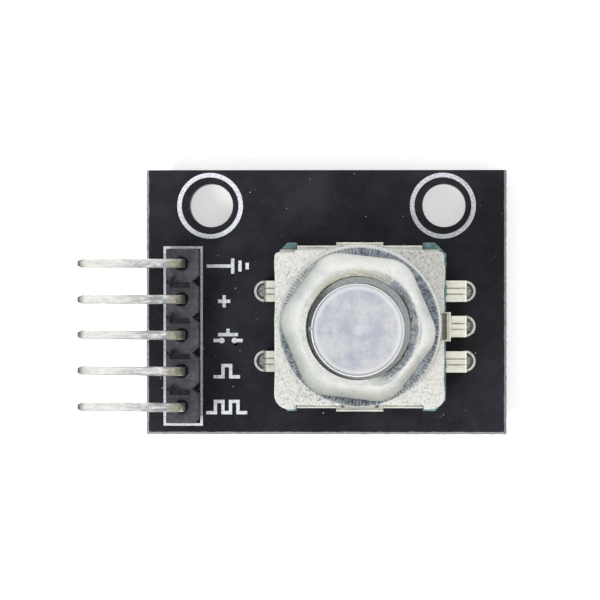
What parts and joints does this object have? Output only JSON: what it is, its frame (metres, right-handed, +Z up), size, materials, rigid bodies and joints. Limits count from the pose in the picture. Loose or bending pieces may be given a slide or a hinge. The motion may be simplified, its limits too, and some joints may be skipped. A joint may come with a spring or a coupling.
{
  "type": "rotary encoder module",
  "caption": "Shaft encoder with push switch, hex nut and toothed washer on a small black board, with two mounting holes and a right-angle pin header.",
  "frame": {"origin": "on the shaft's axis, at the underside of the circuit board", "axes": "+Z up the shaft, away from the board; +X away from the pin header, whose pins point along -X; +Y towards the two mounting holes"},
  "size_m": [0.0304, 0.019, 0.0296],
  "materials": {
    "board_mask": "satin",
    "print_ink": "matte",
    "tin": "satin",
    "solder": "gloss",
    "resistor": "satin",
    "header_plastic": "satin",
    "pin_metal": "gloss",
    "housing_plastic": "satin",
    "contact_metal": "satin",
    "spring_steel": "satin",
    "pale_plastic": "satin",
    "code_brass": "gloss",
    "bracket_steel": "satin",
    "die_cast": "matte",
    "shaft_metal": "satin",
    "washer_steel": "gloss",
    "nut_plating": "polished"
  },
  "bodies": {
    "module": {"circuit_board": "board_mask", "board_print": "print_ink", "plated_pads": "tin", "solder_joints": "solder", "pullup_resistor_1": "resistor", "pullup_resistor_2": "resistor", "resistor_end_caps": "tin", "header_strip": "header_plastic", "header_pin_1": "pin_metal", "header_pin_2": "pin_metal", "header_pin_3": "pin_metal", "header_pin_4": "pin_metal", "header_pin_5": "pin_metal", "switch_case": "housing_plastic", "switch_contact_inner": "contact_metal", "switch_contact_outer": "contact_metal", "switch_dome": "spring_steel", "contact_base": "housing_plastic", "contact_a": "contact_metal", "contact_common": "contact_metal", "contact_b": "contact_metal", "click_spring": "spring_steel", "mounting_bracket": "bracket_steel", "bushing_plate": "die_cast", "lock_washer": "washer_steel", "hex_nut": "nut_plating"},
    "rotor": {"rotor": "pale_plastic", "code_disc": "code_brass"},
    "shaft": {"shaft": "shaft_metal", "retaining_ring": "spring_steel"},
    "plunger": {"switch_plunger": "pale_plastic"}
  },
  "joints": [
    {"name": "shaft_turn", "type": "hinge", "parent": "module", "child": "rotor", "pos_m": [0, 0, 0.0055], "axis": [0, 0, 1], "continuous": true, "deforming": ["click_spring"]},
    {"name": "shaft_push", "type": "slide", "parent": "rotor", "child": "shaft", "axis": [0, 0, -1], "range_m": [0, 0.0005], "stiffness_N_per_m": 6000, "springref_m": -0.0003, "deforming": ["switch_dome"]},
    {"name": "plunger_push", "type": "slide", "parent": "module", "child": "plunger", "axis": [0, 0, -1], "range_m": [0, 0.0005]}
  ],
  "couplings": [
    {"joint": "plunger_push", "follows": "shaft_push", "ratio": 1}
  ]
}
